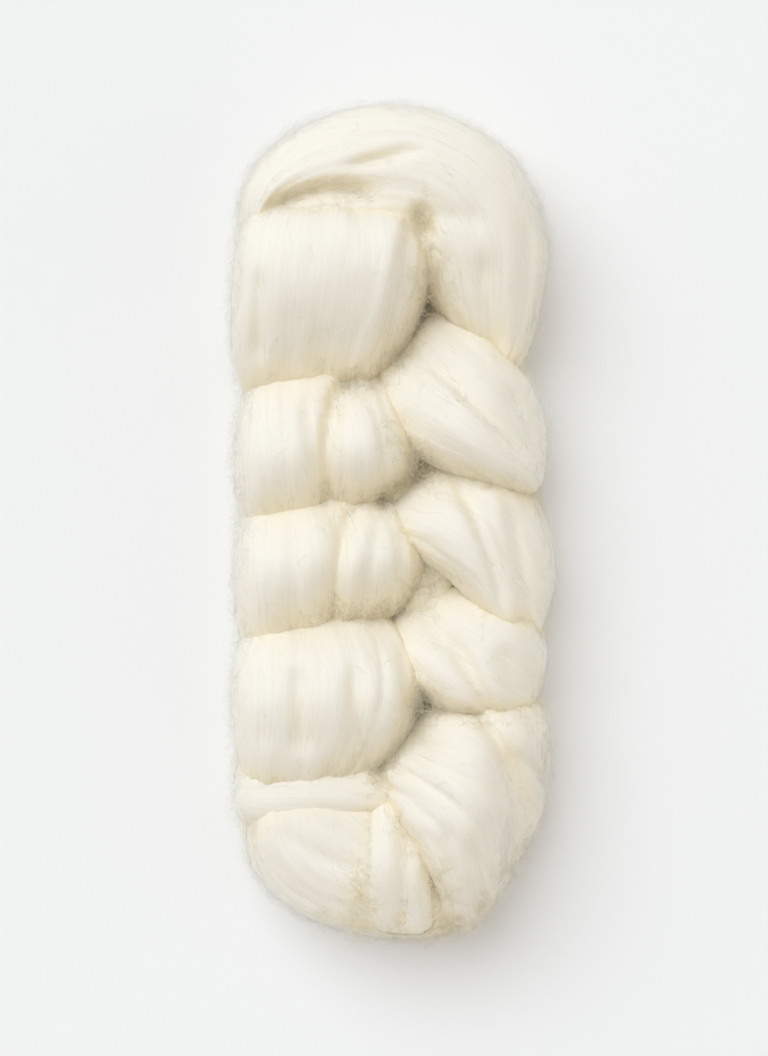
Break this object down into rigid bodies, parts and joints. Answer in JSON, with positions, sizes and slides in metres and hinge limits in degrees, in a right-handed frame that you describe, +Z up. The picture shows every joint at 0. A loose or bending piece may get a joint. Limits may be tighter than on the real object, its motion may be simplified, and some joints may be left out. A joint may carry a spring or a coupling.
{
  "type": "wool roving plait",
  "caption": "Chain plait of undyed combed wool roving for spinning and felting: one soft strand in two columns of puffy turns, closed at both ends, lying flat.",
  "frame": {"origin": "on the resting surface, under the middle of the plait's bounding box", "axes": "+Y along the plait, towards the end closed by the first loop; +X towards the column of slanting turns; +Z up, out of the plait's face"},
  "size_m": [0.1156, 0.2976, 0.066],
  "materials": {
    "wool": "undyed combed wool fibres lying side by side: matt with a soft sheen, cream, a little warmer in the creases"
  },
  "bodies": {
    "root": {"roving_plait": "wool"}
  },
  "joints": []
}
